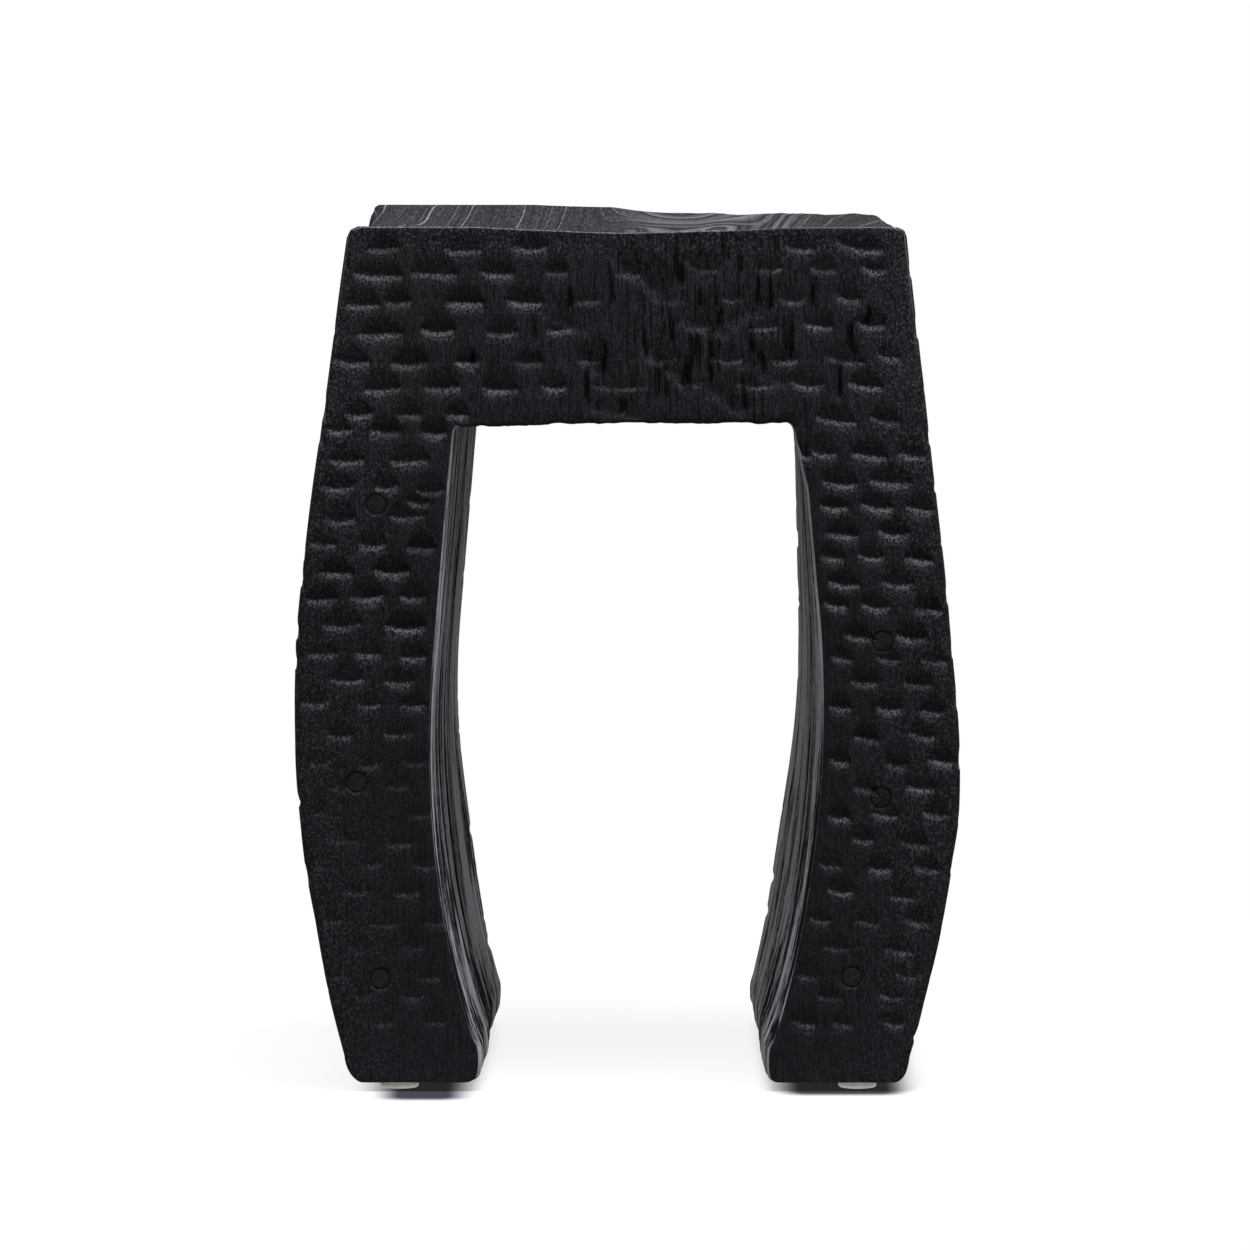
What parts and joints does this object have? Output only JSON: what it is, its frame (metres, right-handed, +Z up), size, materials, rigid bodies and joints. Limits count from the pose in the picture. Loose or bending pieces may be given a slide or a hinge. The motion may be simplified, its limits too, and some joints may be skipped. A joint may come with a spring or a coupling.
{
  "type": "stool",
  "caption": "Carved blackened-wood portal stool: bowed slab legs, a thick apron and a dished seat, glued up in layers, doweled, on nail-on glides.",
  "frame": {"origin": "on the floor, under the middle of the stool's box", "axes": "+Z up, +X to the right and -Y towards the viewer when the carved front faces the viewer"},
  "size_m": [0.346, 0.3, 0.45],
  "materials": {
    "blackened_wood": "gouge-carved and wire-brushed, stained black, dry matt",
    "dowel_wood": "end grain cut flush, stained black",
    "peg_wood": "plain beech, raw",
    "glide_nylon": "natural nylon, satin",
    "nail_steel": "bright zinc plated"
  },
  "bodies": {
    "root": {"front_left_leg": "blackened_wood", "front_apron": "blackened_wood", "front_right_leg": "blackened_wood", "middle_left_leg": "blackened_wood", "middle_apron": "blackened_wood", "middle_right_leg": "blackened_wood", "back_left_leg": "blackened_wood", "back_apron": "blackened_wood", "back_right_leg": "blackened_wood", "left_upper_dowel": "dowel_wood", "left_middle_dowel": "dowel_wood", "left_lower_dowel": "dowel_wood", "right_upper_dowel": "dowel_wood", "right_middle_dowel": "dowel_wood", "right_lower_dowel": "dowel_wood", "front_left_pegs": "peg_wood", "front_right_pegs": "peg_wood", "middle_left_pegs": "peg_wood", "middle_right_pegs": "peg_wood", "back_left_pegs": "peg_wood", "back_right_pegs": "peg_wood", "front_left_glide": "glide_nylon", "front_left_glide_nail": "nail_steel", "front_right_glide": "glide_nylon", "front_right_glide_nail": "nail_steel", "back_left_glide": "glide_nylon", "back_left_glide_nail": "nail_steel", "back_right_glide": "glide_nylon", "back_right_glide_nail": "nail_steel"}
  },
  "joints": []
}
